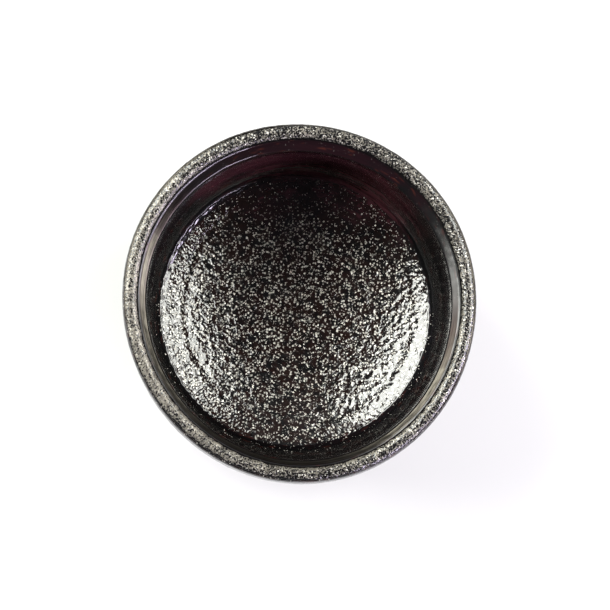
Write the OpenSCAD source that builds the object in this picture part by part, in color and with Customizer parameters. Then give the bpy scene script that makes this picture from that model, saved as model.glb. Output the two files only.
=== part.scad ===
// Matcha bowl: a thick wheel-thrown stoneware tea bowl on a luted foot ring, under dark glaze.
// The clay body, the foot ring and the three coats of glaze are separate solids that meet
// face to face and are fused by the firing, so nothing on the bowl moves.
// Millimetres, +Z up. The origin is the middle of the foot's resting face.

/* [Bowl] */
// Diameter over the rounded lip
lip_d = 120; // [110:1:130]
// Height from the table to the top of the lip
bowl_h = 75; // [68:1:90]
// How far the fullest part of the outer wall stands out past the lip
belly_out = 0.3; // [0.1:0.1:1.5]
// Height of the inside floor at its middle
floor_z = 13; // [12:0.5:16]

/* [Lip] */
// Radius of the rounded lip in section
bead_r = 2.75; // [2.5:0.05:3]
// Slope of the lip's inner flank where it meets the ledge, in degrees
flank_a = 75; // [60:1:80]
// Slope of the ledge just inside the lip, in degrees
ledge_a = 31; // [20:1:38]
// Length of the ledge down its slope
ledge_l = 2.55; // [1:0.05:3]
// Radius of the turn from the ledge into the wall
roll_r = 1.1; // [1:0.1:4]

/* [Inside] */
// Slope of the inner wall, in degrees: 90 is upright, more leans out below
wall_a = 92; // [88:0.1:93]
// Radius of the turn from the wall into the floor
corner_r = 11; // [8:0.5:16]
// Slope of the dished floor at its edge, in degrees
dish_a = 21; // [12:1:26]

/* [Outside] */
// How far round the lip turns before the shallow neck, in degrees from its top
neck_a = 115; // [100:1:125]
// Radius of the shallow neck under the lip
neck_r = 3; // [2:0.5:5]
// Tilt of the upper wall where it leaves the neck, in degrees from upright
shoulder_a = 7; // [6:0.5:9]
// Tilt of the lower wall where it meets the hip, in degrees from upright
lower_a = 9; // [7:0.5:13]
// Radius of the hip, the turn from the wall to the underside
hip_r = 24; // [21:1:26]
// Slope of the underside between the hip and the foot, in degrees
under_a = 18; // [12:1:22]

/* [Foot] */
// Outer diameter of the foot ring where it rests
foot_d = 56; // [50:1:62]
// Width of the foot ring at its resting end
foot_w = 5.2; // [4:0.1:7]
// Height of the foot ring
foot_h = 7.5; // [6:0.5:8]
// How far the waist of the foot ring draws in
waist = 0.9; // [0:0.1:1.2]
// Radius of the foot ring's two lower edges
foot_edge = 0.8; // [0.4:0.1:1.2]
// How far the outside of the foot ring widens towards the bowl
flare = 0.9; // [0.4:0.1:1.5]
// How far the inside of the foot ring narrows towards the bowl
inner_taper = 0.6; // [0:0.1:1]

/* [Glaze] */
// Thickness of the glaze coats
glaze_t = 0.8; // [0.5:0.1:1]
// Tilt of the lip where its own coat stops outside: 0 faces up and 90 faces outwards
lip_end_t = 40; // [20:1:80]
// Extra thickness of the rolled edge where the outside glaze stops
roll_h = 0.7; // [0.2:0.1:1]
// Tilt of the hip where the outside glaze stops: 90 faces outwards and 180 faces down
glaze_end_t = 154; // [145:1:156]
// Length of the rolled edge, in degrees of the hip
roll_a = 9; // [6:1:12]

/* [Hidden] */
$fn = 180;

// Points along an arc, for the tight turns and for the long gentle ones
FINE = 8;
COARSE = 12;

CLAY = [0.36, 0.25, 0.18];
INSIDE_BLACK = [0.10, 0.08, 0.08];
OUTSIDE_BLACK = [0.15, 0.13, 0.14];
LIP_SILVER = [0.55, 0.51, 0.45];

// The section is a chain of arcs that meet tangentially, and the straight stretches between
// them. Each place on it is named by the tilt of the surface there: 0 faces straight up, -90
// faces the axis and 90 faces outwards. facing() points out of the surface into the air, and
// inward() runs along it towards the axis.
function facing(a) = [sin(a), cos(a)];
function inward(a) = [-cos(a), sin(a)];

// Inside, worked out from the lip down to the floor
bead_c = [lip_d / 2 - bead_r, bowl_h - bead_r];
crease_r = 0.5;
crease_c = bead_c + (bead_r + crease_r) * facing(-flank_a);
ledge_top = crease_c - crease_r * facing(-ledge_a);
ledge_end = ledge_top + ledge_l * inward(-ledge_a);
roll_c = ledge_end - roll_r * facing(-ledge_a);
wall_top = roll_c + roll_r * facing(-wall_a);
// The corner's own run and rise, and the wall's length that brings the dish to floor_z
corner_run = corner_r * (sin(wall_a) - sin(dish_a));
corner_rise = corner_r * (cos(dish_a) - cos(wall_a));
dish_drop = tan(dish_a / 2);
wall_l = (wall_top.y - corner_rise - (wall_top.x - corner_run) * dish_drop - floor_z)
    / (sin(wall_a) - dish_drop * cos(wall_a));
wall_end = wall_top + wall_l * inward(-wall_a);
corner_c = wall_end + corner_r * facing(-wall_a);
dish_edge = corner_c - corner_r * facing(-dish_a);
dish_r = dish_edge.x / sin(dish_a);
dish_c = [0, floor_z + dish_r];

// Outside, worked out from the lip down to the foot
shoulder_t = 90 - shoulder_a;
lower_t = 90 + lower_a;
under_t = 180 - under_a;
neck_c = bead_c + (bead_r + neck_r) * facing(neck_a);
neck_end = neck_c - neck_r * facing(shoulder_t);
belly_r = lip_d / 2 + belly_out;
upper_r = (belly_r - neck_end.x) / (1 - sin(shoulder_t));
upper_c = neck_end - upper_r * facing(shoulder_t);
belly = upper_c + upper_r * facing(90);
joint_r = foot_d / 2 + flare;
under_z = foot_h - glaze_t / cos(under_a);
hip_turn = hip_r * (facing(under_t) - facing(lower_t));
// The lower wall's radius that brings the underside down to the top of the foot
lower_r = (under_z - belly.y - hip_turn.y + (belly.x + hip_turn.x - joint_r) * tan(under_a))
    / (cos(lower_t) + (1 - sin(lower_t)) * tan(under_a));
lower_c = belly - lower_r * facing(90);
hip_top = lower_c + lower_r * facing(lower_t);
hip_c = hip_top - hip_r * facing(lower_t);
roll_start_t = glaze_end_t - roll_a;

// Each arc is its centre, its radius, the tilt where it starts and ends, and its steps. A
// radius is negative where the surface is hollow, with the centre of the arc out in the air.
DISH = [dish_c, -dish_r, 0, -dish_a, COARSE];
CORNER = [corner_c, -corner_r, -dish_a, -wall_a, COARSE];
ROLL = [roll_c, roll_r, -wall_a, -ledge_a, FINE];
CREASE = [crease_c, -crease_r, -ledge_a, -flank_a, 3];
BEAD_TOP = [bead_c, bead_r, -flank_a, lip_end_t, 2 * COARSE];
BEAD_SIDE = [bead_c, bead_r, lip_end_t, neck_a, FINE];
NECK = [neck_c, -neck_r, neck_a, shoulder_t, FINE];
UPPER = [upper_c, upper_r, shoulder_t, 90, FINE];
LOWER = [lower_c, lower_r, 90, lower_t, FINE];
HIP = [hip_c, hip_r, lower_t, roll_start_t, COARSE];
ROLLED_HIP = [hip_c, hip_r, roll_start_t, glaze_end_t, FINE];
BARE_HIP = [hip_c, hip_r, glaze_end_t, under_t, 4];

INSIDE = [DISH, CORNER, ROLL, CREASE];
LIP = [BEAD_TOP];
OUTSIDE = [BEAD_SIDE, NECK, UPPER, LOWER, HIP];
GLAZED_OUTSIDE = concat(OUTSIDE, [ROLLED_HIP]);

// Points along an arc, moved below the glazed surface by depth
function arc(a, depth) = [
    for (k = [0:a[4]]) a[0] + (a[1] - depth) * facing(a[2] + (a[3] - a[2]) * k / a[4])
];

// Drops the point that two arcs share
function joined(p) = [
    for (k = [0:len(p) - 1]) if (k == 0 || norm(p[k] - p[max(k - 1, 0)]) > 0.001) p[k]
];

function line(arcs, depth) = joined([for (a = arcs) each arc(a, depth)]);
function backwards(p) = [for (k = [len(p) - 1:-1:0]) p[k]];

// A coat of glaze between its own surface and the clay
module coat(arcs) {
    rotate_extrude() polygon(concat(line(arcs, 0), backwards(line(arcs, glaze_t))));
}

// Thickness of the rolled glaze edge, for u from 0 where it starts to swell to 1 at its end
function rolled_t(u) = u < 0.6
    ? glaze_t + roll_h * (1 - cos(180 * u / 0.6)) / 2
    : (glaze_t + roll_h) * sqrt(max(0, 1 - pow((u - 0.6) / 0.4, 2)));

rolled_edge = [
    for (k = [0:COARSE]) hip_c + (hip_r - glaze_t + rolled_t(k / COARSE))
        * facing(roll_start_t + roll_a * k / COARSE)
];

// Clay wall and floor, with a flat underneath for the foot ring
module stoneware_body() {
    clay = line(concat(INSIDE, LIP, GLAZED_OUTSIDE, [BARE_HIP]), glaze_t);
    color(CLAY) rotate_extrude()
        polygon(concat(clay, [[joint_r, foot_h], [0, foot_h]]));
}

// Luted foot ring: rounded below, drawn in at the waist and flared where it meets the body
module foot_ring() {
    bottom_r = foot_d / 2;
    bottom_in = bottom_r - foot_w;
    side_h = foot_h - foot_edge;
    outer_edge = arc([[bottom_r - foot_edge, foot_edge], foot_edge, 180, 90, 4], 0);
    outer_side = [
        for (k = [1:FINE]) let (u = k / FINE) [
            bottom_r + (joint_r - bottom_r) * u * u - waist * sin(180 * u),
            foot_edge + side_h * u
        ]
    ];
    inner_edge = arc([[bottom_in + foot_edge, foot_edge], foot_edge, 270, 180, 4], 0);
    color(CLAY) rotate_extrude()
        polygon(concat(outer_edge, outer_side, [[bottom_in - inner_taper, foot_h]], inner_edge));
}

// Glaze over the floor, the wall and the ledge
module interior_glaze() {
    color(INSIDE_BLACK) coat(INSIDE);
}

// Glaze from the outer side of the lip to the rolled edge above the bare clay
module exterior_glaze() {
    color(OUTSIDE_BLACK) rotate_extrude()
        polygon(joined(concat(
            line(OUTSIDE, 0),
            rolled_edge,
            backwards(line(GLAZED_OUTSIDE, glaze_t))
        )));
}

// Second coat of glaze, over the top of the lip from its outer side to the crease
module lip_glaze() {
    color(LIP_SILVER) coat(LIP);
}

stoneware_body();
foot_ring();
interior_glaze();
exterior_glaze();
lip_glaze();
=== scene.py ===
"""Matcha bowl: thick wheel-thrown stoneware under black glaze that silvers where it lies thick.

The section of the bowl is worked out in millimetres, as a chain of arcs, and turned round the axis
into one closed mesh for each piece: three coats of glaze, the clay wall and the foot ring. Scene
units are metres, and MM converts. Azimuths are counted from +X towards +Y, which is from the right
towards the top in the main view.
"""

import math

import bpy
import numpy as np
from mathutils import Matrix, Vector

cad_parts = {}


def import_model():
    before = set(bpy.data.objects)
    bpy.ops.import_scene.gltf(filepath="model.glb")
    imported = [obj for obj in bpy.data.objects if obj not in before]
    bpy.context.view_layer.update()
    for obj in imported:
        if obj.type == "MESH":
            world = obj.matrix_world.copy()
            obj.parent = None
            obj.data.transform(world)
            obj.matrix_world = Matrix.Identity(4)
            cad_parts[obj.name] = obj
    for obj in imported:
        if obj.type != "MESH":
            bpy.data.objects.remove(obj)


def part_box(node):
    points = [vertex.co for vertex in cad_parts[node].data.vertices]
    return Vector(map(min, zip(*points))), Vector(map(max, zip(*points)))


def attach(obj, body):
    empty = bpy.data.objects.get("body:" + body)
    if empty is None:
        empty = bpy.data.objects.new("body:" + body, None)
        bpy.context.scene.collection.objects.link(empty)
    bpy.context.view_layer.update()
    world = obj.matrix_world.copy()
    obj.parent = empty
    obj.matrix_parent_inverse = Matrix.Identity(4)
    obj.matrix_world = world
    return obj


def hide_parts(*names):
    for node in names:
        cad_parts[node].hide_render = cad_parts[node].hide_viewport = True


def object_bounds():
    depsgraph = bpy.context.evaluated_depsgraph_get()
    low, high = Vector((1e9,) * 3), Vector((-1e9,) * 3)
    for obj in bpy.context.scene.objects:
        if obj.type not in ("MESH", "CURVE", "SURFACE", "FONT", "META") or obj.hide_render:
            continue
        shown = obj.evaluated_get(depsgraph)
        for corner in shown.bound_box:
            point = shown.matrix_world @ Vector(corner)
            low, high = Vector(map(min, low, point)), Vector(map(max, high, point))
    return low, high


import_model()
cad_low, cad_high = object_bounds()

MM = 0.001

# ---------------------------------------------------------------- section, in millimetres

# Each place on the section is named by the tilt of the surface there, in degrees: 0 faces up, -90
# faces the axis and 90 faces outwards. The slopes inside are tilts without their minus sign
wall_low, wall_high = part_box("exterior_glaze")
foot_low, foot_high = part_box("foot_ring")
BELLY_OUT = 0.3  # how far the belly stands out past the lip
LIP_R = (wall_high.x - wall_low.x) / 2 / MM - BELLY_OUT
BOWL_H = cad_high.z / MM
FOOT_H = foot_high.z / MM
JOINT_R = (foot_high.x - foot_low.x) / 2 / MM  # outer edge of the foot where it meets the body

BEAD_R = 2.75  # the rounded lip
LIP_END = 40  # tilt where the lip's own coat stops outside
FLANK = 75  # slope of the lip's inner flank
CREASE_R = 0.5
LEDGE = 31  # slope of the ledge inside the lip
LEDGE_L = 2.55
ROLL_R = 1.1  # the turn from the ledge into the wall
WALL = 92  # slope of the inner wall, which leans out below
CORNER_R = 11  # the turn from the wall into the floor
DISH = 21  # slope of the dished floor at its edge
FLOOR_Z = 13  # height of the middle of the floor

NECK = 115  # tilt where the lip turns into the shallow neck
NECK_R = 3
SHOULDER = 83  # tilt where the neck turns into the upper wall
LOWER = 99  # tilt where the lower wall turns into the hip
HIP_R = 24
UNDER = 162  # tilt of the underside
GLAZE_T = 0.8
GLAZE_END = 154  # tilt on the hip where the outside glaze stops
ROLL_H = 0.7  # extra thickness of the rolled edge there
ROLL_LENGTH = 3.8

FOOT_R = 28
FOOT_W = 5.2
FOOT_EDGE = 0.8  # radius of the lower edges
FOOT_WAIST = 0.9  # how far the outside draws in
FOOT_TAPER = 0.6  # how far the inside narrows towards the bowl


def facing(tilt):
    """Direction out of the surface at a tilt, as radius and height."""
    angle = np.radians(tilt)
    return np.stack([np.sin(angle), np.cos(angle)], axis=-1)


def inward(tilt):
    """Direction along the surface towards the axis."""
    angle = np.radians(tilt)
    return np.stack([-np.cos(angle), np.sin(angle)], axis=-1)


class Arc:
    """One arc of the section. A hollow one has a negative radius, and its centre is in the air."""

    def __init__(self, centre, radius, start, end, step):
        self.centre, self.radius = np.array(centre, float), radius
        self.start, self.end, self.step = start, end, step

    def rows(self, depth):
        """Radius, height and tilt at each point of the arc, moved below the surface by depth."""
        length = abs(self.radius) * math.radians(abs(self.end - self.start))
        share = np.linspace(0, 1, max(2, math.ceil(length / self.step)) + 1)
        tilt = self.start + (self.end - self.start) * share
        return np.column_stack([self.centre + (self.radius - depth) * facing(tilt), tilt])


def trace(arcs, depth=0.0):
    """Rows of a chain of arcs, with straight stretches between arcs that don't touch."""
    line = arcs[0].rows(depth)
    for arc in arcs[1:]:
        more = arc.rows(depth)
        gap = float(np.hypot(*(more[0, :2] - line[-1, :2])))
        if gap < 0.01:
            more = more[1:]
        else:
            share = np.linspace(0, 1, max(1, math.ceil(gap / arc.step)) + 1)[1:-1, None]
            line = np.vstack([line, line[-1] + (more[0] - line[-1]) * share])
        line = np.vstack([line, more])
    return line


# Inside, worked out from the lip down to the floor
bead_c = np.array([LIP_R - BEAD_R, BOWL_H - BEAD_R])
crease_c = bead_c + (BEAD_R + CREASE_R) * facing(-FLANK)
ledge_top = crease_c - CREASE_R * facing(-LEDGE)
ledge_end = ledge_top + LEDGE_L * inward(-LEDGE)
roll_c = ledge_end - ROLL_R * facing(-LEDGE)
wall_top = roll_c + ROLL_R * facing(-WALL)
corner_turn = CORNER_R * (facing(-WALL) - facing(-DISH))
# The wall's length that brings the middle of the dished floor to FLOOR_Z
dish_drop = math.tan(math.radians(DISH / 2))
wall_run = inward(-WALL)
wall_l = (FLOOR_Z - wall_top[1] - corner_turn[1] + (wall_top[0] + corner_turn[0]) * dish_drop) / (
    wall_run[1] - wall_run[0] * dish_drop
)
corner_c = wall_top + wall_l * wall_run + CORNER_R * facing(-WALL)
dish_edge = corner_c - CORNER_R * facing(-DISH)
dish_r = dish_edge[0] / math.sin(math.radians(DISH))
clay_dish_r = dish_edge[0] + GLAZE_T * math.sin(math.radians(DISH))

# Outside, worked out from the lip down to the foot
neck_c = bead_c + (BEAD_R + NECK_R) * facing(NECK)
neck_end = neck_c - NECK_R * facing(SHOULDER)
upper_r = (LIP_R + BELLY_OUT - neck_end[0]) / (1 - math.sin(math.radians(SHOULDER)))
upper_c = neck_end - upper_r * facing(SHOULDER)
belly = upper_c + upper_r * facing(90)
hip_turn = HIP_R * (facing(UNDER) - facing(LOWER))
# The lower wall's radius that brings the underside down to the top of the foot
under_slope = math.tan(math.radians(180 - UNDER))
under_z = FOOT_H + GLAZE_T / math.cos(math.radians(UNDER))
under_drop = under_z - belly[1] - hip_turn[1] + (belly[0] + hip_turn[0] - JOINT_R) * under_slope
lower_turn = facing(LOWER) - facing(90)
lower_r = under_drop / (lower_turn[1] - lower_turn[0] * under_slope)
lower_c = belly - lower_r * facing(90)
hip_c = lower_c + (lower_r - HIP_R) * facing(LOWER)

# Slope of the corner where the thick pooled glaze of the floor stops, the height of its edge, and
# how many degrees above that edge the rows get closer together and are closest
POOL = 34
POOL_STEP = 0.12
POOL_CLOSER, POOL_CLOSEST = 20, 8

# Steps for inside_arcs() on the clay side of the glaze, which is never seen
HIDDEN_STEPS = (1.5, 1.5, 3, 3)


def inside_arcs(ledge=0.36, wall=1.1, above=0.42, pool=0.16):
    """The inside, from the crease down to the edge of the dished floor, with its steps."""
    return [
        Arc(crease_c, -CREASE_R, -FLANK, -LEDGE, ledge),
        Arc(roll_c, ROLL_R, -LEDGE, -WALL, ledge),
        Arc(corner_c, -CORNER_R, -WALL, -POOL - POOL_CLOSER, wall),
        Arc(corner_c, -CORNER_R, -POOL - POOL_CLOSER, -POOL - POOL_CLOSEST, above),
        Arc(corner_c, -CORNER_R, -POOL - POOL_CLOSEST, -DISH, pool),
    ]


def lip_arcs(step):
    """The top of the lip, from where its coat stops outside over to the crease."""
    return [Arc(bead_c, BEAD_R, LIP_END, -FLANK, step)]


def outside_arcs(step, end):
    """The outside, from a tilt on the hip up to the coat of the lip."""
    return [
        Arc(hip_c, HIP_R, end, LOWER, step),
        Arc(lower_c, lower_r, LOWER, 90, step),
        Arc(upper_c, upper_r, 90, SHOULDER, step),
        Arc(neck_c, -NECK_R, SHOULDER, NECK, min(step, 0.8)),
        Arc(bead_c, BEAD_R, NECK, LIP_END, min(step, 0.5)),
    ]


# ---------------------------------------------------------------- relief of the hand-made surface


class Noise:
    """Smooth noise in space between about -1 and 1, with features about one unit across."""

    def __init__(self, seed):
        state = np.random.RandomState(seed)
        self.order = np.tile(state.permutation(256), 3)
        directions = state.normal(size=(256, 3))
        self.directions = directions / np.linalg.norm(directions, axis=1, keepdims=True)

    def __call__(self, points):
        cell = np.floor(points).astype(int)
        part = points - cell
        ease = part**3 * (part * (part * 6 - 15) + 10)
        total = np.zeros(points.shape[:-1])
        for corner in np.ndindex(2, 2, 2):
            at = (cell + corner) & 255
            pick = self.order[self.order[self.order[at[..., 0]] + at[..., 1]] + at[..., 2]]
            slope = (self.directions[pick] * (part - corner)).sum(-1)
            weight = np.where(np.array(corner, bool), ease, 1 - ease).prod(-1)
            total += slope * weight
        return total * 1.7


grain = Noise(11)
lumps = Noise(23)
swell = Noise(37)


def smooth(value, low, high):
    """0 below low, 1 above high and a smooth step between them."""
    share = np.clip((value - low) / (high - low), 0, 1)
    return share * share * (3 - 2 * share)


def around(points):
    """Radius and azimuth of points round the bowl's axis."""
    return np.hypot(points[..., 0], points[..., 1]), np.arctan2(points[..., 1], points[..., 0])


def ring_noise(source, points, along, across):
    """Noise drawn out round the bowl: along is its size in radians, and across in millimetres."""
    radius, azimuth = around(points)
    place = (0.7 * radius + points[..., 2]) / across
    return source(np.stack([np.cos(azimuth) / along, np.sin(azimuth) / along, place], axis=-1))


def raised(points, away, height):
    """Points moved out of the surface by a height."""
    return points + height[..., None] * away


# Spacing of the throwing rings, how far they tip out of level, and towards which angle in radians
RING_PITCH, RING_TIP, RING_TIP_AT = 4.2, 0.9, 0.6
INSIDE_RINGS, OUTSIDE_RINGS = 0.09, 0.28  # their depths


def throwing_rings(points, tilt, depth):
    """Ridges that fingers leave round an upright wall as it is thrown."""
    _, azimuth = around(points)
    tipped = points.copy()
    tipped[..., 2] += RING_TIP * np.cos(azimuth - RING_TIP_AT)
    upright = smooth(np.abs(np.sin(np.radians(tilt))), 0.5, 0.9)
    return depth * ring_noise(swell, tipped, 1.0, RING_PITCH) * upright


# Size and height of the small and the large bumps of the glaze, and how far they sink into it
SMALL_BUMP, SMALL_BUMP_H = 1.7, 0.09
LARGE_BUMP, LARGE_BUMP_H = 3.0, 0.19
BUMP_SINK = 0.06


def orange_peel(points):
    """Glaze that has drawn up into small rounded bumps."""
    small = SMALL_BUMP_H * np.abs(grain(points / SMALL_BUMP))
    large = LARGE_BUMP_H * np.abs(lumps(points / LARGE_BUMP))
    return small + large - BUMP_SINK


PIT_DEPTH = 0.12


def pits(points, tilt):
    """Small pits, a little drawn out round the lip, where its glaze has broken open."""
    broken = ring_noise(grain, points, 0.012, 0.5) + 0.35 * lumps(points / 2.5)
    return -PIT_DEPTH * smooth(broken, 0.15, 0.6) * (1 - smooth(tilt, 60, 90))


# A finger's groove round the floor: its radius, how far it is off centre, its width and its depth
GROOVE_R, GROOVE_OFF, GROOVE_W, GROOVE_DEPTH = 42.8, 1.3, 1.15, 0.12


def finger_groove(points):
    """The groove between its two banks, deeper on one side and uneven on its way round."""
    radius, azimuth = around(points)
    off = (radius - GROOVE_R - GROOVE_OFF * np.cos(azimuth)) / GROOVE_W
    ring = np.stack([np.cos(azimuth), np.sin(azimuth), 0 * azimuth], axis=-1)
    strength = 0.9 + 0.5 * swell(ring * 2.2)
    strength -= 0.4 * np.cos(azimuth)
    banks = 0.5 * np.exp(-((off - 2) ** 2)) + 0.6 * np.exp(-((off + 2) ** 2))
    return GROOVE_DEPTH * strength * (banks - np.exp(-(off**2)))


# The sides of the bowl where its surface differs, as azimuths in degrees
THIN_SIDE = 85  # the glaze ran thin, and has few crystals
# Inside, the red on this side is made lighter than the glaze's own, as painted fill light
RED_SIDE, RED_SIDE_OUT = 84, 85  # the glaze is reddest inside, and outside
SMOOTH_SIDE = 138  # the floor's edge is smooth
ROUGH_SIDE = 185  # the floor's edge is most pebbly
EVEN_SIDE = 345  # the floor is least pebbly
PAINTED_SHADE_LEDGE_SIDE = 65  # painted shade: no silvery film on the ledge here
GLOSSY_LEDGE_SIDE = 80  # the ledge keeps most of its gloss
PITTED_SIDE = 75  # the lip's inner flank is pitted too
CLOSED_SIDE = 200  # the lip has the fewest pits
WORN_SIDE = 255  # the lip's coat stops highest outside


def facing_side(points, side, sharpness):
    """1 on one side of the bowl, fading to 0 on its far half, sooner for a higher sharpness."""
    _, azimuth = around(points)
    return np.maximum(0, np.cos(azimuth - math.radians(side))) ** sharpness


def crystals(points):
    """How many crystals the floor has: fewest on its outer part where the glaze ran thin."""
    radius, _ = around(points)
    outer = smooth(radius + 3 * swell(points / 6), 28, 42)
    thin = 0.6 * outer * facing_side(points, THIN_SIDE, 1.5)
    across = 0.1 * smooth(radius, 15, 40) * facing_side(points, THIN_SIDE + 180, 1.5)
    return 1 - thin - across


def pebbled(points):
    """How pebbly the floor's glaze is, about 1: more near its edge on one side of the bowl."""
    radius, _ = around(points)
    more = 0.9 * smooth(radius, 38, 43) * facing_side(points, ROUGH_SIDE, 1)
    less = 0.45 * smooth(radius, 25, 40) * facing_side(points, EVEN_SIDE, 1)
    return 1 + more - less


def pooled(points, tilt):
    """1 where the floor's thick glaze lies and 0 above its ragged edge on the corner."""
    edge = POOL + 2.2 * grain(points / 1.1) + 1.5 * lumps(points / 4)
    return (1 - smooth(-tilt, edge - 1.5, edge + 1.5)) * (points[..., 2] < corner_c[1])


def open_pits(points, tilt):
    """How pitted the lip's coat is: less on its inner flank, and least on one side of the bowl."""
    flank = 0.35 + 0.65 * smooth(tilt, -50, -12) + 0.5 * facing_side(points, PITTED_SIDE, 1)
    return np.clip(flank, 0, 1) * (1 - 0.65 * facing_side(points, CLOSED_SIDE, 1))


def lip_cover(points, tilt):
    """How much silver coat shows on the lip, between ragged ends outside and on its flank."""
    ragged = 10 * ring_noise(lumps, points, 0.05, 3) + 7 * grain(points / 1.2)
    outer_end = 62 - 32 * facing_side(points, WORN_SIDE, 0.7)
    outer = smooth(outer_end + ragged - tilt, -6, 12)
    return outer * smooth(tilt + 54 + 0.8 * ragged, -5, 5)


# The bowl is a little out of round: half-widths of the ovalness and of the three-sidedness at the
# lip, as a share of the radius, and the azimuths of their fullest parts
OVAL, OVAL_AT = 0.0099, math.radians(109.75)
THREE, THREE_AT = 0.0064, math.radians(38.9)
# Half-heights of the two waves that keep the lip from being level
LIP_WAVE, LIP_WAVE_3 = 0.2, 0.12


def towards(azimuth):
    """Level direction at an azimuth in degrees."""
    return np.array([math.cos(math.radians(azimuth)), math.sin(math.radians(azimuth))])


# The top of the inner wall is off centre, so the ledge is narrower on one side. The belly is off
# centre another way
WALL_SHIFT = 0.7 * towards(262)
BELLY_SHIFT = 0.7 * towards(310)


def warp(points, inner):
    """Puts the hand-made irregularity into points of a true body of revolution.

    inner says whether they are on the inside, or else on the lip or the outside.
    """
    out = points.copy()
    _, azimuth = around(points)
    z = points[..., 2]
    rise = smooth(z, 8, BOWL_H)
    wide = OVAL * np.cos(2 * (azimuth - OVAL_AT)) + THREE * np.cos(3 * (azimuth - THREE_AT))
    out[..., :2] *= (1 + rise * wide)[..., None]
    waves = LIP_WAVE * np.cos(2 * azimuth + 0.8) + LIP_WAVE_3 * np.cos(3 * azimuth)
    out[..., 2] += smooth(z, 40, BOWL_H) * waves
    if inner:
        shift = smooth(z, 38, 64) * (1 - smooth(z, ledge_end[1], ledge_top[1]))
        out[..., :2] += shift[..., None] * WALL_SHIFT
    else:
        shift = smooth(z, 20, 45) * (1 - smooth(z, 58, 69))
        out[..., :2] += shift[..., None] * BELLY_SHIFT
    return out


# ---------------------------------------------------------------- meshes


class Skin:
    """Collects rings of points, from below and outside to above and inside, into a closed mesh."""

    def __init__(self):
        self.points, self.faces, self.count = [], [], 0
        self.finish = {"speck": [], "satin": [], "thin": [], "pebbly": [], "dull": []}

    def add(self, points, speck=0.0, satin=0.0, thin=0.0, pebbly=None, dull=0.0):
        """Adds points, with how their glaze looks, and returns their numbers arranged alike.

        speck is how many crystals there are, satin how much silvery film or coat, thin how red the
        glaze shows where it is thin, in a red lightened as painted fill light, or on the lip how
        pitted it is, pebbly how rough the surface is, which is as speck where it isn't given, and
        dull how much of the gloss is lost.
        """
        numbers = self.count + np.arange(points[..., 0].size).reshape(points.shape[:-1])
        self.points.append(points.reshape(-1, 3))
        pebbly = speck if pebbly is None else pebbly
        values = (speck, satin, thin, pebbly, dull)
        for name, value in zip(self.finish, values):
            self.finish[name].append(np.broadcast_to(value, points.shape[:-1]).ravel())
        self.count += numbers.size
        return numbers

    def band(self, first, second):
        """Four-sided faces between two rings of the same number of points."""
        quads = np.stack([first, np.roll(first, -1), np.roll(second, -1), second], axis=-1)
        self.faces.append(quads)

    def bands(self, rings, closed=False):
        """Faces between each ring and the next, and from the last to the first if closed."""
        for first, second in zip(rings[:-1], rings[1:]):
            self.band(first, second)
        if closed:
            self.band(rings[-1], rings[0])

    def taper(self, many, few, flip=False):
        """Three-sided faces between a ring and one with a whole fraction of its points."""
        ratio = len(many) // len(few)
        near = np.repeat(few, ratio)
        fans = np.stack([many, np.roll(many, -1), near], axis=-1)
        bridges = np.stack([np.roll(many[::ratio], -1), np.roll(few, -1), few], axis=-1)
        for faces in (fans, bridges):
            self.faces.append(faces[:, ::-1] if flip else faces)

    def grid(self, numbers, flip=False):
        """Four-sided faces over a square grid."""
        corners = [numbers[:-1, :-1], numbers[1:, :-1], numbers[1:, 1:], numbers[:-1, 1:]]
        quads = np.stack([c.ravel() for c in corners], axis=-1)
        self.faces.append(quads[:, ::-1] if flip else quads)

    def piece(self, name):
        """The finished mesh as an object of the scene, in metres."""
        points = np.concatenate(self.points) * MM
        loops = np.concatenate([f.ravel() for f in self.faces])
        sizes = np.concatenate([np.full(len(f), f.shape[1]) for f in self.faces])
        mesh = bpy.data.meshes.new(name)
        mesh.vertices.add(len(points))
        mesh.vertices.foreach_set("co", points.ravel())
        mesh.loops.add(len(loops))
        mesh.loops.foreach_set("vertex_index", loops)
        mesh.polygons.add(len(sizes))
        mesh.polygons.foreach_set("loop_start", np.cumsum(sizes) - sizes)
        mesh.update(calc_edges=True)
        mesh.validate()
        mesh.shade_smooth()
        for finish, values in self.finish.items():
            layer = mesh.attributes.new(finish, "FLOAT", "POINT")
            layer.data.foreach_set("value", np.concatenate(values))
        made = bpy.data.objects.new(name, mesh)
        bpy.context.scene.collection.objects.link(made)
        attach(made, "root")
        return made


def spokes(count):
    """Azimuths of a ring's points in radians, counted from -45 degrees as rim() does."""
    return np.radians(-45 + 360 * np.arange(count) / count)


def turned(rows, segments):
    """Points, outward directions and tilts of section rows turned round the axis."""
    angle = spokes(segments)
    across = np.stack([np.cos(angle), np.sin(angle)], axis=-1)
    radius, height, tilt = (rows[:, i, None] for i in range(3))
    spread = np.ones(segments)
    points = np.stack([radius * across[:, 0], radius * across[:, 1], height * spread], axis=-1)
    out, up = np.sin(np.radians(tilt)), np.cos(np.radians(tilt))
    away = np.stack([out * across[:, 0], out * across[:, 1], up * spread], axis=-1)
    return points, away, tilt * spread


def disc(radius, count):
    """A square grid of count faces a side, rounded into an even disc that turned() can join."""
    line = np.linspace(-1, 1, count + 1)
    a, b = np.meshgrid(line, line, indexing="ij")
    wide = np.abs(a) >= np.abs(b)
    reach = np.where(wide, a, b)
    safe = np.where(reach == 0, 1, reach)
    angle = np.where(wide, np.pi / 4 * b / safe, np.pi / 2 - np.pi / 4 * a / safe)
    return radius * reach * np.cos(angle), radius * reach * np.sin(angle)


def rim(numbers):
    """A square grid's edge as one ring, counted from azimuth -45 degrees."""
    right, top = numbers[-1, :-1], numbers[::-1, -1][:-1]
    left, bottom = numbers[0, ::-1][:-1], numbers[:-1, 0]
    return np.concatenate([right, top, left, bottom])


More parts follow.
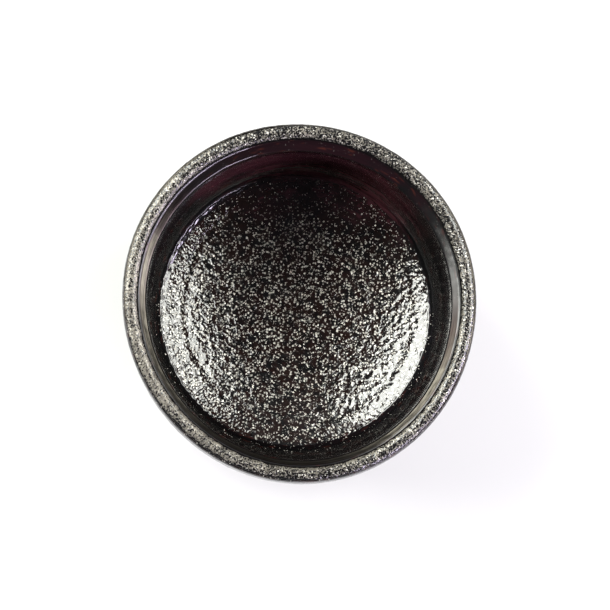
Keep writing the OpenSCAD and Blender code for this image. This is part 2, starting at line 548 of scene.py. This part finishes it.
def floor_grid(radius, count, depth=0.0):
    """Points of the dished floor out to a radius, moved below the surface by depth."""
    x, y = disc(radius, count)
    height = FLOOR_Z + dish_r - np.sqrt((dish_r + depth) ** 2 - np.hypot(x, y) ** 2)
    return np.stack([x, y, height], axis=-1)


def wall_relief(points, tilt, pool, edge):
    """Height of the relief inside, from the edge of the floor up to the crease."""
    height = pool * (orange_peel(points) * (1 - 0.6 * edge) + POOL_STEP) + finger_groove(points)
    height += throwing_rings(points, tilt, INSIDE_RINGS) + 0.02 * grain(points / 1.6)
    height += 0.04 * smooth(points[..., 2], 55, 66) * ring_noise(lumps, points, 0.07, 2.2)
    return height


def wall_finish(points, pool, edge):
    """Values for Skin.add() inside, from the edge of the floor up to the crease."""
    level = points[..., 2]
    strays = 0.36 * (1 - facing_side(points, THIN_SIDE, 0.5)) * (1 - smooth(level, 19, 33))
    speck = np.maximum(crystals(points) * pool, strays)
    speck = np.maximum(speck * (1 - 0.8 * edge * pool), 0.1)
    # How much of the red, lightened as painted fill light, shows: most on the wall below the ledge
    thin = (1 - 0.97 * smooth(level, 62, 70)) * (0.8 + 0.2 * smooth(level, 24, 48))
    pebbly = pool * pebbled(points) * (1 - np.minimum(1, 1.4 * edge))
    ledge = smooth(level, ledge_end[1] - 0.2, ledge_end[1])
    below_crease = 1 - smooth(level, ledge_top[1] - 0.3, ledge_top[1] - 0.1)
    # The silvery film is left off the ledge on one side as painted shade
    satin = ledge * below_crease * (1 - facing_side(points, PAINTED_SHADE_LEDGE_SIDE, 0.25))
    dull = ledge * (1 - 0.75 * facing_side(points, GLOSSY_LEDGE_SIDE, 2))
    return speck, satin, thin, pebbly, dull


def interior_glaze():
    """The coat over the floor, the wall and the ledge."""
    count, few = 180, 48
    skin = Skin()
    # Clay side, coarse because it is never seen
    back = skin.add(warp(floor_grid(clay_dish_r, few // 4, GLAZE_T), True))
    skin.grid(back, flip=True)
    points, _, _ = turned(trace(inside_arcs(*HIDDEN_STEPS), GLAZE_T)[::-1][1:], few)
    rings = [rim(back)] + list(skin.add(warp(points, True)))
    skin.bands(rings)
    # Seen side: the wall, then the floor as an even grid
    points, away, tilt = turned(trace(inside_arcs()), 4 * count)
    pool = pooled(points, tilt)
    edge = facing_side(points, SMOOTH_SIDE, 4) * smooth(-tilt, 23, 28)
    wall = warp(raised(points, away, wall_relief(points, tilt, pool, edge)), True)
    front = skin.add(wall, *wall_finish(points, pool, edge))
    level = floor_grid(dish_edge[0], count)
    away = (np.array([0, 0, dish_r + FLOOR_Z]) - level) / dish_r
    height = orange_peel(level) + POOL_STEP + finger_groove(level)
    # Red of the floor, in a red lightened as painted fill light, more towards its edge
    thin = 0.4 + 0.4 * smooth(np.hypot(level[..., 0], level[..., 1]), 25, 42)
    floor = warp(raised(level, away, height), True)
    inner = skin.add(floor, crystals(level), 0, thin, pebbled(level))
    skin.taper(front[0], rings[-1], flip=True)
    skin.bands(list(front[:-1]) + [rim(inner)])
    skin.grid(inner)
    return skin.piece("glaze_inside")


def lip_glaze():
    """The heavy coat over the top of the lip."""
    skin = Skin()
    many, few = 1680, 140
    points, away, tilt = turned(trace(lip_arcs(0.21)), many)
    ends = smooth(LIP_END - tilt, 0, 6) * smooth(tilt + FLANK, 0, 8)
    height = ends * (0.5 * orange_peel(points) + pits(points, tilt))
    coat = warp(raised(points, away, height), False)
    front = skin.add(coat, 1.0, lip_cover(points, tilt), open_pits(points, tilt))
    points, _, _ = turned(trace(lip_arcs(1.5), GLAZE_T)[::-1], few)
    back = skin.add(warp(points, False))
    skin.bands(front)
    skin.taper(front[-1], back[0])
    skin.bands(back)
    skin.taper(front[0], back[-1], flip=True)
    return skin.piece("glaze_lip")


def glaze_line(azimuth):
    """Tilt on the hip where the outside glaze stops, which is lower in some places than others."""
    ring = np.stack([1.6 * np.cos(azimuth), 1.6 * np.sin(azimuth), 0 * azimuth + 3.3], axis=-1)
    fine = np.stack([5 * np.cos(azimuth), 5 * np.sin(azimuth), 0 * azimuth + 7.7], axis=-1)
    return GLAZE_END - 3 + 5.0 * swell(ring) + 1.6 * swell(fine)


def rolled(distance):
    """Thickness of the outside glaze at a distance in millimetres from its lower end."""
    share = 1 - np.clip(distance / ROLL_LENGTH, 0, 1)
    swelling = GLAZE_T + ROLL_H * (1 - np.cos(np.pi * np.minimum(share / 0.6, 1))) / 2
    end = np.sqrt(np.maximum(0, 1 - np.maximum(0, (share - 0.6) / 0.4) ** 2))
    return swelling * end


def exterior_glaze():
    """The coat over the outer wall, with its rolled lower edge."""
    skin = Skin()
    many, few = 720, 144
    # The hip, whose rows follow the uneven glaze line and are closest together at the rolled edge
    share = np.concatenate([np.linspace(0, 0.09, 12)[:-1], np.linspace(0.09, 1, 36)])
    azimuth = spokes(many)
    across = np.stack([np.cos(azimuth), np.sin(azimuth)], axis=-1)
    end = glaze_line(azimuth)
    tilt = end + (LOWER - end) * share[:, None]
    distance = np.radians(end - tilt) * HIP_R
    direction = facing(tilt)
    place = hip_c + (HIP_R - GLAZE_T + rolled(distance))[..., None] * direction
    hip = np.concatenate([place[..., :1] * across, place[..., 1:]], axis=-1)
    away = np.concatenate([direction[..., :1] * across, direction[..., 1:]], axis=-1)
    height = orange_peel(hip) + throwing_rings(hip, tilt, OUTSIDE_RINGS)
    height *= smooth(distance, 0, 2)
    speck = 0.45 + 0.45 * (1 - smooth(distance, 4, 16))
    low = skin.add(warp(raised(hip, away, height), False), speck)
    # The wall and the outer side of the lip, above the row that ends the hip
    rows = trace(outside_arcs(0.62, LOWER + 1))
    points, away, tilt = turned(rows[rows[:, 2] < LOWER - 1e-6], many)
    fades = 1 - 0.55 * smooth(points[..., 2], 30, 62)
    height = fades * orange_peel(points) + throwing_rings(points, tilt, OUTSIDE_RINGS)
    height = (height + pits(points, tilt)) * smooth(tilt - LIP_END, 0, 8)
    speck = 0.1 + 0.35 * (1 - smooth(points[..., 2], 30, 55)) + 0.3 * smooth(80 - tilt, 0, 30)
    wall = warp(raised(points, away, height), False)
    front = skin.add(wall, speck, lip_cover(points, tilt))
    skin.bands(list(low) + list(front))
    points, _, _ = turned(trace(outside_arcs(4, GLAZE_END - 12), GLAZE_T)[::-1], few)
    back = skin.add(warp(points, False))
    skin.taper(front[-1], back[0])
    skin.bands(back)
    skin.taper(low[0], back[-1], flip=True)
    return skin.piece("glaze_outside")


def turning_marks(points, depth):
    """Fine grooves that a trimming tool leaves round the underside."""
    radius, azimuth = around(points)
    groove = (radius + 0.5 * points[..., 2]) / 1.1
    ring = np.stack([0.6 * np.cos(azimuth), 0.6 * np.sin(azimuth), groove], axis=-1)
    return depth * swell(ring)


def grit(points, depth):
    """Coarse sand in bare clay: grains that stand proud and holes where grains were torn out."""
    grains = smooth(grain(points / 0.9), 0.45, 0.8)
    return depth * (grains - 1.3 * smooth(lumps(points / 1.3), 0.55, 0.8))


def bare(points, away):
    """Bare trimmed clay moved to its real surface."""
    height = turning_marks(points, 0.06) + grit(points, 0.09) + 0.1 * swell(points / 9)
    return raised(points, away, height)


# How far the hollow of the foot is cut into the body, and the knob left in its middle
HOLLOW_DEPTH = 0.15
KNOB_H, KNOB_R = 0.9, 3.2


def stoneware_body():
    """The thrown clay: bare under the bowl, and plain where glaze covers it."""
    skin = Skin()
    many, few = 480, 96
    # Hollow of the foot
    hollow_r = FOOT_R - FOOT_W - FOOT_TAPER
    x, y = disc(hollow_r, many // 4)
    radius = np.hypot(x, y)
    knob = -KNOB_H * np.exp(-((radius / KNOB_R) ** 2)) - 0.25 * smooth(radius, 17, hollow_r)
    edge = HOLLOW_DEPTH * smooth(radius, hollow_r - 2, hollow_r)
    under = np.stack([x, y, FOOT_H - HOLLOW_DEPTH + knob + edge], axis=-1)
    down = np.zeros_like(under) - [0, 0, 1]
    hollow = skin.add(bare(under, down * smooth(hollow_r - radius, 0, 1)[..., None]))
    skin.grid(hollow, flip=True)
    # Underside from the foot out to where the glaze has closed over it
    rows = trace([Arc(hip_c, HIP_R, UNDER, 128, 0.4)], GLAZE_T)
    foot_edge = np.array([JOINT_R, FOOT_H])
    slope = foot_edge + (rows[0, :2] - foot_edge) * np.linspace(0, 1, 36)[:-1, None]
    rows = np.vstack([np.column_stack([slope, np.full(len(slope), UNDER)]), rows])
    points, away, _ = turned(rows, many)
    settle = smooth(rows[:, 0], JOINT_R, JOINT_R + 1.5)[:, None, None]
    bottom = skin.add(warp(bare(points, away * settle), False))
    skin.bands([rim(hollow)] + list(bottom))
    # Clay under the glaze, up the outside, over the lip and down the inside
    points, _, _ = turned(trace(outside_arcs(4, 126) + lip_arcs(1.5), GLAZE_T), few)
    outer = skin.add(warp(points, False))
    skin.taper(bottom[-1], outer[0])
    points, _, _ = turned(trace(inside_arcs(*HIDDEN_STEPS), GLAZE_T)[1:-1], few)
    inner = skin.add(warp(points, True))
    top = skin.add(warp(floor_grid(clay_dish_r, few // 4, GLAZE_T), True))
    skin.bands(list(outer) + list(inner) + [rim(top)])
    skin.grid(top)
    return skin.piece("clay_body")


def foot_ring():
    """The luted foot: drawn in at the waist, rounded below and ground flat where it rests."""
    skin = Skin()
    inner_r = FOOT_R - FOOT_W
    side_h = FOOT_H - FOOT_EDGE
    share = np.linspace(0, 1, 18)
    flare = FOOT_R + (JOINT_R - FOOT_R) * share**2 - FOOT_WAIST * np.sin(np.pi * share)
    outer_side = np.column_stack([flare, FOOT_EDGE + side_h * share, 90 + 0 * share])
    outer_edge = Arc((FOOT_R - FOOT_EDGE, FOOT_EDGE), FOOT_EDGE, 180, 90, 0.2).rows(0)
    inner_edge = Arc((inner_r + FOOT_EDGE, FOOT_EDGE), FOOT_EDGE, 270, 180, 0.2).rows(0)
    taper = inner_r - FOOT_TAPER * share[::-1]
    inner_side = np.column_stack([taper, FOOT_EDGE + side_h * share[::-1], 270 + 0 * share])
    across = np.linspace(inner_r + FOOT_EDGE, FOOT_R - FOOT_EDGE, 11)[1:-1]
    rest = np.column_stack([across, 0 * across, 180 + 0 * across])
    rows = np.vstack([outer_edge, outer_side[1:], inner_side, inner_edge[1:], rest])
    points, away, _ = turned(rows, 480)
    height = grit(points, 0.08) + turning_marks(points, 0.05) + 0.12 * swell(points / 7)
    # Nothing stands below the resting face, and the top stays where the body sits on it
    height = np.where(points[..., 2] < 0.3, np.minimum(height, 0), height)
    height *= smooth(FOOT_H - points[..., 2], 0, 0.8)
    skin.bands(skin.add(raised(points, away, height)), closed=True)
    return skin.piece("clay_foot")


# ---------------------------------------------------------------- materials


def apart(seed):
    """Offset that sets textures with different seeds apart."""
    return seed, seed * 0.7, seed * 1.3


class Paint:
    """A material built from nodes. Texture sizes are in millimetres on the bowl."""

    def __init__(self, name):
        self.material = bpy.data.materials.new(name)
        self.material.use_nodes = True
        self.nodes, self.links = self.material.node_tree.nodes, self.material.node_tree.links
        self.shader = self.nodes["Principled BSDF"]
        metres = self.nodes.new("ShaderNodeTexCoord").outputs["Object"]
        self.space = self.vector("MULTIPLY", metres, (1 / MM, 1 / MM, 1 / MM))

    def put(self, socket, value):
        """Sets a socket to a number or colour, or links it to another node's output."""
        if isinstance(value, bpy.types.NodeSocket):
            self.links.new(value, socket)
        else:
            socket.default_value = value

    def set(self, **values):
        """Sets the shader's sockets, named with _ for a space."""
        for name, value in values.items():
            self.put(self.shader.inputs[name.replace("_", " ")], value)

    def operate(self, kind, operation, values):
        """Outputs of a new node that works on values."""
        node = self.nodes.new(kind)
        node.operation = operation
        for socket, value in zip(node.inputs, values):
            self.put(socket, value)
        return node.outputs

    def maths(self, operation, *values):
        return self.operate("ShaderNodeMath", operation, values)[0]

    def vector(self, operation, *values):
        outputs = self.operate("ShaderNodeVectorMath", operation, values)
        return outputs["Value" if operation == "LENGTH" else "Vector"]

    def blend(self, share, first, second):
        """Mixes two colours."""
        node = self.nodes.new("ShaderNodeMix")
        node.data_type = "RGBA"
        self.put(node.inputs["Factor"], share)
        self.put(node.inputs[6], first)
        self.put(node.inputs[7], second)
        return node.outputs[2]

    def step(self, value, low, high, first=0.0, second=1.0):
        """A smooth step from first to second as value goes from low to high."""
        node = self.nodes.new("ShaderNodeMapRange")
        node.interpolation_type = "SMOOTHSTEP"
        for socket, number in zip(node.inputs, (value, low, high, first, second)):
            self.put(socket, number)
        return node.outputs[0]

    def scaled(self, size, seed):
        """The place on the bowl in units of size millimetres."""
        return self.vector("MULTIPLY_ADD", self.space, (1 / size,) * 3, apart(seed))

    def cloud(self, place, detail=1.0, output="Fac"):
        """Noise from 0 to 1, with features about one unit across in place."""
        node = self.nodes.new("ShaderNodeTexNoise")
        node.inputs["Scale"].default_value = 1.0
        node.inputs["Detail"].default_value = detail
        self.links.new(place, node.inputs["Vector"])
        return node.outputs[output]

    def noise(self, size, detail=1.0, seed=0.0):
        """Noise with features about size millimetres across."""
        return self.cloud(self.scaled(size, seed), detail)

    def ring_noise(self, along, across, detail=1.0, seed=0.0):
        """Noise drawn out round the bowl: along is in radians, and across in millimetres."""
        flat = self.vector("MULTIPLY", self.space, (1, 1, 0))
        spoke = self.vector("NORMALIZE", flat)
        height = self.vector("MULTIPLY", self.space, (0, 0, 1 / across))
        reach = self.maths("MULTIPLY", self.vector("LENGTH", flat), 0.7 / across)
        rise = self.nodes.new("ShaderNodeCombineXYZ")
        self.links.new(reach, rise.inputs["Z"])
        upward = self.vector("ADD", height, rise.outputs[0])
        place = self.vector("MULTIPLY_ADD", spoke, (1 / along, 1 / along, 0), upward)
        return self.cloud(self.vector("ADD", place, apart(seed)), detail)

    def flecks(self, size, smallest, largest, more=0.0, ragged=0.5, seed=0.0):
        """Scattered flecks about size millimetres apart.

        Their radii go from smallest to largest as shares of size, and more adds to them. Returns
        how much of a fleck is here, and a random number for each fleck.
        """
        place = self.scaled(size, seed)
        wobble = self.cloud(self.vector("MULTIPLY", place, (1.7,) * 3), 2, "Color")
        place = self.vector("MULTIPLY_ADD", wobble, (ragged,) * 3, place)
        node = self.nodes.new("ShaderNodeTexVoronoi")
        node.inputs["Scale"].default_value = 1.0
        self.links.new(place, node.inputs["Vector"])
        chance = self.nodes.new("ShaderNodeSeparateColor")
        self.links.new(node.outputs["Color"], chance.inputs[0])
        radius = self.maths("MULTIPLY_ADD", chance.outputs[0], largest - smallest, smallest)
        radius = self.maths("ADD", radius, more)
        edge = self.maths("SUBTRACT", radius, node.outputs["Distance"])
        crumbs = self.cloud(self.vector("MULTIPLY", place, (2.6,) * 3), 1)
        edge = self.maths("ADD", edge, self.maths("MULTIPLY_ADD", crumbs, 0.9, -0.45))
        return self.step(edge, -0.02, 0.05), chance.outputs[1]

    def finish(self, name):
        """A number that Skin.add() gave the mesh at each point."""
        node = self.nodes.new("ShaderNodeAttribute")
        node.attribute_name = name
        return node.outputs["Fac"]

    def bumps(self, *layers):
        """Stacks bump nodes: each layer is a height and its depth in millimetres."""
        normal = None
        for height, depth in layers:
            node = self.nodes.new("ShaderNodeBump")
            node.inputs["Distance"].default_value = depth * MM
            self.links.new(height, node.inputs["Height"])
            if normal is not None:
                self.links.new(normal, node.inputs["Normal"])
            normal = node.outputs[0]
        self.links.new(normal, self.shader.inputs["Normal"])


BLACK = (0.0034, 0.0033, 0.0036, 1)
MAROON = (0.0058, 0.0021, 0.0032, 1)
# Wine red of the thin glaze, made lighter than its own colour as painted fill light
PAINTED_FILL_WINE = (0.118, 0.035, 0.046, 1)
RED_STREAK = (0.032, 0.0085, 0.0065, 1)
RUST = (0.016, 0.0062, 0.0043, 1)
DULL_SILVER = (0.46, 0.435, 0.39, 1)
SILVER = (0.90, 0.87, 0.80, 1)
TAUPE = (0.026, 0.0235, 0.0195, 1)
LIGHT_TAUPE = (0.080, 0.073, 0.061, 1)
COAT_DARK = (0.095, 0.086, 0.070, 1)
COAT_LIGHT = (0.20, 0.183, 0.153, 1)
CLAY = (0.155, 0.080, 0.045, 1)
TOASTED_CLAY = (0.085, 0.042, 0.026, 1)
SAND = (0.34, 0.25, 0.17, 1)
IRON = (0.02, 0.012, 0.010, 1)

RED_REACH = 55  # millimetres towards the reddish side that add 1 to the redness


def black_glaze(name, reddest, brightest):
    """Glossy iron-black glaze with silver crystals, reddish on the side at azimuth reddest, where
    the red is made lighter than the glaze's own as painted fill light.
    """
    paint = Paint(name)
    speck, satin, pebbly = paint.finish("speck"), paint.finish("satin"), paint.finish("pebbly")
    # Black, or wine red on one side where the glaze is thin, lightened there as painted fill
    # light, with red streaks and rusty blotches
    side = (*(towards(reddest) / RED_REACH), 0)
    split = paint.nodes.new("ShaderNodeSeparateXYZ")
    paint.links.new(paint.vector("MULTIPLY", paint.space, side), split.inputs[0])
    redness = paint.maths("ADD", split.outputs[0], split.outputs[1])
    redness = paint.maths("ADD", redness, paint.noise(17, 2, seed=3))
    redness = paint.maths("MULTIPLY_ADD", paint.ring_noise(0.35, 1.6, 2, seed=8), 0.5, redness)
    bands = paint.step(paint.ring_noise(0.25, 1.4, 2, seed=12), 0.38, 0.62, 0.4, 1.0)
    wine_and_painted_fill = paint.blend(paint.maths("MULTIPLY", paint.finish("thin"), bands), MAROON, PAINTED_FILL_WINE)
    ground = paint.blend(paint.step(redness, 1.31, 1.67), BLACK, wine_and_painted_fill)
    streak = paint.step(paint.ring_noise(0.09, 0.8, 1, seed=21), 0.64, 0.70)
    ground = paint.blend(streak, ground, RED_STREAK)
    blotch = paint.maths("MULTIPLY", paint.step(paint.noise(3.0, 2, seed=9), 0.38, 0.62), pebbly)
    ground = paint.blend(blotch, ground, RUST)
    # Crystals
    sparse = paint.maths("MULTIPLY_ADD", speck, 0.34, -0.34)
    fleck, chance = paint.flecks(0.85, 0.06, 0.50, sparse, ragged=1.0, seed=17)
    silver = paint.blend(paint.step(chance, 0.0, 1.0), DULL_SILVER, brightest)
    crystal = paint.maths("MULTIPLY", fleck, paint.step(speck, 0.05, 0.3))
    colour = paint.blend(crystal, ground, silver)
    # Silvery film, in fine streaks round the bowl
    film = paint.step(satin, 0, 0.3)
    taupe = paint.step(paint.ring_noise(0.22, 0.20, 2, seed=33), 0.32, 0.66)
    taupe = paint.blend(satin, MAROON, paint.blend(taupe, TAUPE, LIGHT_TAUPE))
    gloss = paint.step(crystal, 0, 1, 0.12, 0.38)
    dull = paint.maths("MULTIPLY", paint.finish("dull"), 0.31)
    paint.set(
        Base_Color=paint.blend(film, colour, taupe),
        Metallic=paint.maths("MAXIMUM", paint.maths("MULTIPLY", crystal, 0.3), film),
        Roughness=paint.maths("MAXIMUM", gloss, dull),
        IOR=1.7,
    )
    fine = paint.maths("MULTIPLY", paint.noise(0.75, 0, seed=31), pebbly)
    pebbles = paint.maths("ABSOLUTE", paint.maths("SUBTRACT", paint.noise(1.3, 0, seed=41), 0.5))
    pebbles = paint.maths("MULTIPLY", pebbles, pebbly)
    paint.bumps((paint.noise(6, 1, seed=5), 0.03), (pebbles, 0.17), (fine, 0.05))
    return paint.material


def lip_silver(name):
    """The heavy lip coat: silvery taupe, broken by black pits."""
    paint = Paint(name)
    cover, pitted = paint.finish("satin"), paint.finish("thin")
    broken = paint.noise(0.58, 1, seed=51)
    broken = paint.maths("MULTIPLY_ADD", paint.noise(2.6, 1, seed=53), 0.2, broken)
    broken = paint.maths("ADD", broken, paint.step(pitted, 0, 1, -0.07, 0.06))
    whole = paint.maths("SUBTRACT", 1.0, paint.step(broken, 0.61, 0.645))
    thick = paint.maths("MULTIPLY_ADD", paint.noise(0.9, 1, seed=59), 0.5, cover)
    coat = paint.maths("MULTIPLY", paint.step(thick, 0.55, 0.75), whole)
    tone = paint.blend(paint.step(paint.noise(3.5, 2, seed=57), 0.3, 0.7), COAT_DARK, COAT_LIGHT)
    # Silver crystals in the coat, whose bright colour also paints glints of light on the lip
    crystal_and_painted_glint, chance = paint.flecks(0.75, 0.22, 0.50, ragged=1.0, seed=67)
    crystal_and_painted_glint = paint.maths("MULTIPLY", crystal_and_painted_glint, chance)
    crystal_and_painted_glint = paint.maths("MULTIPLY", crystal_and_painted_glint, paint.step(pitted, 0.2, 1.0, 0.15, 1.0))
    paint.set(
        Base_Color=paint.blend(coat, BLACK, paint.blend(crystal_and_painted_glint, tone, SILVER)),
        Metallic=paint.maths("MULTIPLY", coat, 0.5),
        Roughness=paint.step(coat, 0, 1, 0.22, 0.42),
        IOR=1.65,
    )
    paint.bumps((paint.noise(1.1, 1, seed=61), 0.10), (coat, 0.12))
    return paint.material


def bare_clay(name):
    """Unglazed iron stoneware: toasted brown, sandy and dry."""
    paint = Paint(name)
    toast = paint.step(paint.noise(14, 3, seed=71), 0.35, 0.68)
    sand = paint.step(paint.noise(0.5, 2, seed=77), 0.58, 0.68)
    iron = paint.step(paint.noise(0.7, 1, seed=83), 0.66, 0.72)
    colour = paint.blend(toast, CLAY, TOASTED_CLAY)
    colour = paint.blend(paint.maths("MULTIPLY", sand, 0.5), colour, SAND)
    colour = paint.blend(iron, colour, IRON)
    paint.set(Base_Color=colour, Roughness=paint.step(toast, 0, 1, 0.92, 0.74), IOR=1.45)
    paint.bumps((paint.noise(1.6, 2, seed=91), 0.10), (paint.noise(0.35, 2, seed=97), 0.05))
    return paint.material


# ---------------------------------------------------------------- the pieces

inside_black = black_glaze("black_glaze_inside", RED_SIDE, SILVER)
outside_black = black_glaze("black_glaze_outside", RED_SIDE_OUT, DULL_SILVER)

PIECES = [
    (interior_glaze, "interior_glaze", inside_black, "black_glaze"),
    (exterior_glaze, "exterior_glaze", outside_black, "black_glaze"),
    (lip_glaze, "lip_glaze", lip_silver("silver_black_lip"), "silver_black_glaze"),
    (stoneware_body, "stoneware_body", bare_clay("bare_stoneware"), "bare_clay"),
    (foot_ring, "foot_ring", bare_clay("bare_stoneware_foot"), "bare_clay"),
]
for build, node, material, slot in PIECES:
    piece = build()
    piece.data.materials.append(material)
    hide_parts(node)

# ---------------------------------------------------------------- studio, in metres

TABLE_R, TABLE_SIDES = 1.6, 72


def table():
    """A plain pale table top."""
    mesh = bpy.data.meshes.new("table_top")
    corners = [TABLE_R * towards(360 / TABLE_SIDES * k) for k in range(TABLE_SIDES)]
    mesh.from_pydata([(x, y, 0) for x, y in corners], [], [range(TABLE_SIDES)])
    made = bpy.data.objects.new("table_top", mesh)
    bpy.context.scene.collection.objects.link(made)
    paint = Paint("pale_table")
    paint.set(Base_Color=(0.51, 0.51, 0.51, 1), Roughness=0.6)
    paint.set(Emission_Color=(1, 1, 1, 1), Emission_Strength=0.19)
    mesh.materials.append(paint.material)


def softbox(name, azimuth, elevation, distance, width, height, radiance, colour=(1, 1, 1)):
    """A rectangular light that faces the bowl, with its angles in degrees."""
    data = bpy.data.lights.new(name, "AREA")
    data.shape = "RECTANGLE"
    data.size, data.size_y = width, height
    data.energy = radiance * math.pi * width * height
    data.color = colour
    made = bpy.data.objects.new(name, data)
    bpy.context.scene.collection.objects.link(made)
    a, e = math.radians(azimuth), math.radians(elevation)
    away = Vector((math.cos(a) * math.cos(e), math.sin(a) * math.cos(e), math.sin(e)))
    made.location = away * distance + Vector((0, 0, cad_high.z / 2))
    made.rotation_mode = "QUATERNION"
    made.rotation_quaternion = away.to_track_quat("Z", "Y")


DIM_SIDE = 265  # azimuth of the darker side of the room


def world():
    """Surroundings of a studio: pale low down, dark overhead, and dimmer on one side."""
    made = bpy.data.worlds.new("studio")
    made.use_nodes = True
    nodes, links = made.node_tree.nodes, made.node_tree.links
    place = nodes.new("ShaderNodeTexCoord").outputs["Generated"]
    background = nodes["Background"]
    split = nodes.new("ShaderNodeSeparateXYZ")
    ramp = nodes.new("ShaderNodeValToRGB")
    links.new(place, split.inputs[0])
    links.new(split.outputs["Z"], ramp.inputs[0])
    low, high = ramp.color_ramp.elements
    low.position, low.color = 0.10, (0.35, 0.35, 0.35, 1)
    high.position, high.color = 0.42, (0.045, 0.043, 0.050, 1)
    ramp.color_ramp.elements.new(0.26).color = (0.11, 0.10, 0.14, 1)
    links.new(ramp.outputs[0], background.inputs["Color"])
    side = nodes.new("ShaderNodeVectorMath")
    side.operation = "DOT_PRODUCT"
    side.inputs[1].default_value = (*towards(DIM_SIDE), 0)
    links.new(place, side.inputs[0])
    dim = nodes.new("ShaderNodeMapRange")
    dim.interpolation_type = "SMOOTHSTEP"
    for name, number in {"From Min": 0.3, "From Max": 0.95, "To Min": 1.0, "To Max": 0.55}.items():
        dim.inputs[name].default_value = number
    links.new(side.outputs["Value"], dim.inputs[0])
    links.new(dim.outputs[0], background.inputs["Strength"])
    bpy.context.scene.world = made


def camera():
    """Looks almost straight down, from a little towards the lower left."""
    distance, off, side = 0.700, math.radians(4.2), 240
    # What the picture takes in at the height of the lip, and the point in its middle
    width, middle = 0.2043, Vector((0.0015, -0.0013, cad_high.z))
    away = Vector((*(math.sin(off) * towards(side)), math.cos(off)))
    data = bpy.data.cameras.new("camera")
    data.sensor_width = 36
    data.lens = data.sensor_width * distance / width
    made = bpy.data.objects.new("camera", data)
    bpy.context.scene.collection.objects.link(made)
    made.location = Vector((0, 0, cad_high.z)) + away * distance
    look = (made.location - middle).normalized()
    right = Vector((0, 1, 0)).cross(look).normalized()
    up = look.cross(right)
    made.rotation_mode = "QUATERNION"
    made.rotation_quaternion = Matrix((right, up, look)).transposed().to_quaternion()
    bpy.context.scene.camera = made


WARM = (0.985, 1.0, 0.945)
LAVENDER = (0.88, 0.78, 1.0)

table()
world()
camera()
# Azimuth, elevation, distance, width, height and radiance
softbox("right_softbox", 15, 42, 1.0, 0.80, 0.50, 11.0, WARM)
softbox("left_softbox", 150, 42, 1.0, 0.92, 0.60, 13.3, WARM)
softbox("backdrop", 83, 45, 1.3, 1.2, 0.9, 0.15)
softbox("window", 326, 27.5, 1.0, 1.15, 0.11, 28, LAVENDER)
bpy.context.scene.view_settings.view_transform = "Standard"
